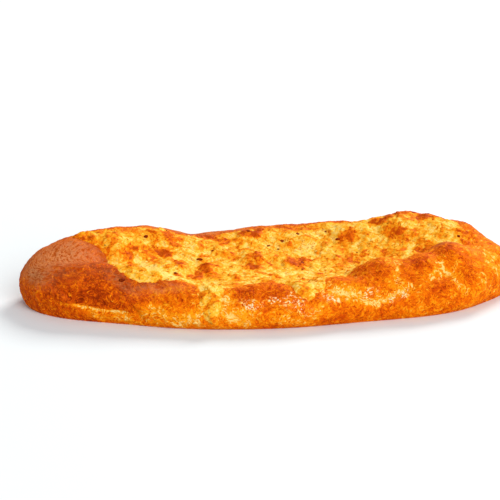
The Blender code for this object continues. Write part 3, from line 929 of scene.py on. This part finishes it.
class CHEESEROLL_OT_bubbles(bpy.types.Operator):
    """Scatter small set bubbles over the baked cheese"""

    bl_idname = "cheese_roll.bubbles"
    bl_label = "Bubbles"

    def execute(self, context):
        bubbles = context.scene.cheese_roll.bubbles
        cheese = bpy.data.objects["baked_cheese"]
        tree, inputs = new_tree("set bubbles", (
            ("Spacing", "NodeSocketFloat"), ("Smallest", "NodeSocketFloat"),
            ("Largest", "NodeSocketFloat"), ("Seed", "NodeSocketInt"), ("Material", "NodeSocketMaterial"),
        ))
        bubbly = add(tree, "GeometryNodeInputNamedAttribute", {"Name": "bubbly"}, data_type="FLOAT")
        spread = add(tree, "GeometryNodeDistributePointsOnFaces", {
            "Mesh": inputs["Geometry"], "Distance Min": inputs["Spacing"], "Density Max": MOST_BUBBLES,
            "Density Factor": bubbly["Attribute"], "Seed": inputs["Seed"],
        }, distribute_method="POISSON")
        width = add(tree, "FunctionNodeRandomValue", {"Seed": 3}, data_type="FLOAT")[1]
        skewed = add(tree, "ShaderNodeMath", {0: width, 1: 2.5}, operation="POWER")[0]
        size = add(tree, "ShaderNodeMapRange", {
            "Value": skewed, "To Min": inputs["Smallest"], "To Max": inputs["Largest"],
        })[0]
        flattened = add(tree, "ShaderNodeVectorMath", {0: size, 1: BUBBLE_SHAPE}, operation="MULTIPLY")[0]
        domes = scatter(tree, spread["Points"], spread["Rotation"], flattened, 2)
        dress(tree, domes, inputs["Material"])
        material = cheese.data.materials[0]
        grow("cheese_bubbles", cheese.data.copy(), tree, {
            "Spacing": bubbles.spacing, "Smallest": bubbles.smallest, "Largest": bubbles.largest,
            "Seed": bubbles.seed, "Material": material,
        }, material)
        return {"FINISHED"}


class CHEESEROLL_OT_specks(bpy.types.Operator):
    """Scorch a few specks of the cheese and the crust"""

    bl_idname = "cheese_roll.specks"
    bl_label = "Scorched Specks"

    def execute(self, context):
        settings = context.scene.cheese_roll
        specks = settings.specks
        rng = np.random.default_rng(SPECK_SEED)
        outline = smooth_outline(CHEESE_OUTLINE)
        spots = list(SCORCHES)
        while len(spots) < len(SCORCHES) + specks.number:
            x, y = rng.uniform(*SPECK_REGION)
            if inside_distance(np.array([[x, y]]) * MM, outline)[0] > SPECK_MARGIN:
                width = specks.smallest + (specks.largest - specks.smallest) * rng.random() ** 2
                spots.append((x, y, width / MM))

        # Each speck lies on whatever is highest under a point well above the skin
        surfaces = [bpy.data.objects[name] for name in ("baked_cheese", "crust")]
        places, sizes = [], []
        for x, y, width in spots:
            flat = np.array([[x, y]]) * MM
            above = skin(settings.loaf, *polar(settings.loaf, flat))[0] + (0, 0, 0.05)
            hits = [s.ray_cast(Vector(above), Vector((0, 0, -1))) for s in surfaces]
            places.append(max((h[1] for h in hits if h[0]), key=lambda place: place.z))
            sizes.append(width * MM)
        seeds = mesh_of("speck_places", np.array(places), [])
        seeds.attributes.new("width", "FLOAT", "POINT").data.foreach_set("value", sizes)

        tree, inputs = new_tree("scorched specks", (
            ("Seed", "NodeSocketInt"), ("Material", "NodeSocketMaterial"),
        ))
        width = add(tree, "GeometryNodeInputNamedAttribute", {"Name": "width"}, data_type="FLOAT")[0]
        squash = add(tree, "FunctionNodeRandomValue", {
            0: (0.38, 0.30, 0.16), 1: (0.60, 0.48, 0.28), "Seed": inputs["Seed"],
        }, data_type="FLOAT_VECTOR")[0]
        scale = add(tree, "ShaderNodeVectorMath", {0: squash, "Scale": width}, operation="SCALE")[0]
        turn = add(tree, "FunctionNodeRandomValue", {
            0: (-0.3, -0.3, 0), 1: (0.3, 0.3, 2 * math.pi), "Seed": 11,
        }, data_type="FLOAT_VECTOR")[0]
        flakes = scatter(tree, inputs["Geometry"], turn, scale, 3)
        lumpy = add(tree, "ShaderNodeTexNoise", {"Scale": 1 / CRUMBLE, "Detail": 2.0})["Color"]
        centred = add(
            tree, "ShaderNodeVectorMath", {0: lumpy, 1: (0.5, 0.5, 0.5)}, operation="SUBTRACT"
        )[0]
        offset = add(tree, "ShaderNodeVectorMath", {0: centred, "Scale": CRUMBLE}, operation="SCALE")[0]
        crumbled = add(tree, "GeometryNodeSetPosition", {"Geometry": flakes, "Offset": offset})[0]
        dress(tree, crumbled, inputs["Material"])
        material = char_material(specks)
        grow("scorched_specks", seeds, tree, {"Seed": 2, "Material": material}, material)
        return {"FINISHED"}


class CHEESEROLL_OT_stage(bpy.types.Operator):
    """Set the floor, the lights and the camera"""

    bl_idname = "cheese_roll.stage"
    bl_label = "Stage"

    def execute(self, context):
        stage = context.scene.cheese_roll.stage
        scene = context.scene
        half = stage.floor / 2
        corners = np.array([(-half, -half, 0), (half, -half, 0), (half, half, 0), (-half, half, 0)])
        data = mesh_of("floor", corners, [(0, 1, 2, 3)])
        data.materials.append(paper_material(stage))
        floor = new_object("floor", data)

        world = bpy.data.worlds.new("studio")
        world.use_nodes = True
        background = world.node_tree.nodes["Background"].inputs
        background["Color"].default_value = stage.sky
        background["Strength"].default_value = stage.dome
        scene.world = world

        for name, power, tint, size, place in (
            ("back_softbox", stage.back, (1.0, 0.97, 0.92), (1.2, 1.2), (1.4, 1.9, 1.85)),
            ("front_softbox", stage.front, (1.0, 0.99, 0.97), (1.8, 1.8), (1.0, -2.35, 1.45)),
        ):
            light = bpy.data.lights.new(name, "AREA")
            light.shape = "RECTANGLE"
            light.size, light.size_y = size
            light.energy = power
            light.color = tint
            softbox = new_object(name, light)
            softbox.location = place
            softbox.rotation_euler = (-softbox.location).to_track_quat("-Z", "Y").to_euler()

        a, e = stage.azimuth, stage.elevation
        right = Vector((math.cos(a), math.sin(a), 0))
        back = Vector((math.sin(a) * math.cos(e), -math.cos(a) * math.cos(e), math.sin(e)))
        up = back.cross(right)
        lens = bpy.data.cameras.new("camera")
        lens.lens = stage.focal_length
        camera = new_object("camera", lens)
        camera.location = back * stage.distance
        aim = right * AIM_RIGHT + up * AIM_UP
        camera.rotation_euler = (aim - camera.location).to_track_quat("-Z", "Y").to_euler()
        scene.camera = camera
        scene.view_settings.view_transform = "Standard"
        return {"FINISHED"}


class CHEESEROLL_PT_sidebar(bpy.types.Panel):
    bl_label = "Cheese Roll"
    bl_idname = "CHEESEROLL_PT_sidebar"
    bl_space_type = "VIEW_3D"
    bl_region_type = "UI"
    bl_category = "Cheese Roll"

    def draw(self, context):
        settings = context.scene.cheese_roll
        for operator, group in zip(OPERATORS, ("loaf", "cheese", "bubbles", "specks", "stage")):
            box = self.layout.box()
            box.operator(operator.bl_idname)
            values = getattr(settings, group)
            for name in values.bl_rna.properties.keys():
                if name not in ("name", "rna_type"):
                    box.prop(values, name)


OPERATORS = (
    CHEESEROLL_OT_loaf,
    CHEESEROLL_OT_cheese,
    CHEESEROLL_OT_bubbles,
    CHEESEROLL_OT_specks,
    CHEESEROLL_OT_stage,
)
CLASSES = (
    LoafProperties,
    CheeseProperties,
    BubbleProperties,
    SpeckProperties,
    StageProperties,
    CheeseRollProperties,
    *OPERATORS,
    CHEESEROLL_PT_sidebar,
)


def register():
    for cls in CLASSES:
        bpy.utils.register_class(cls)
    bpy.types.Scene.cheese_roll = PointerProperty(type=CheeseRollProperties)


def unregister():
    del bpy.types.Scene.cheese_roll
    for cls in reversed(CLASSES):
        bpy.utils.unregister_class(cls)


def main():
    register()
    bpy.ops.cheese_roll.loaf()
    bpy.ops.cheese_roll.cheese()
    bpy.ops.cheese_roll.bubbles()
    bpy.ops.cheese_roll.specks()
    bpy.ops.cheese_roll.stage()


if __name__ == "__main__":
    main()
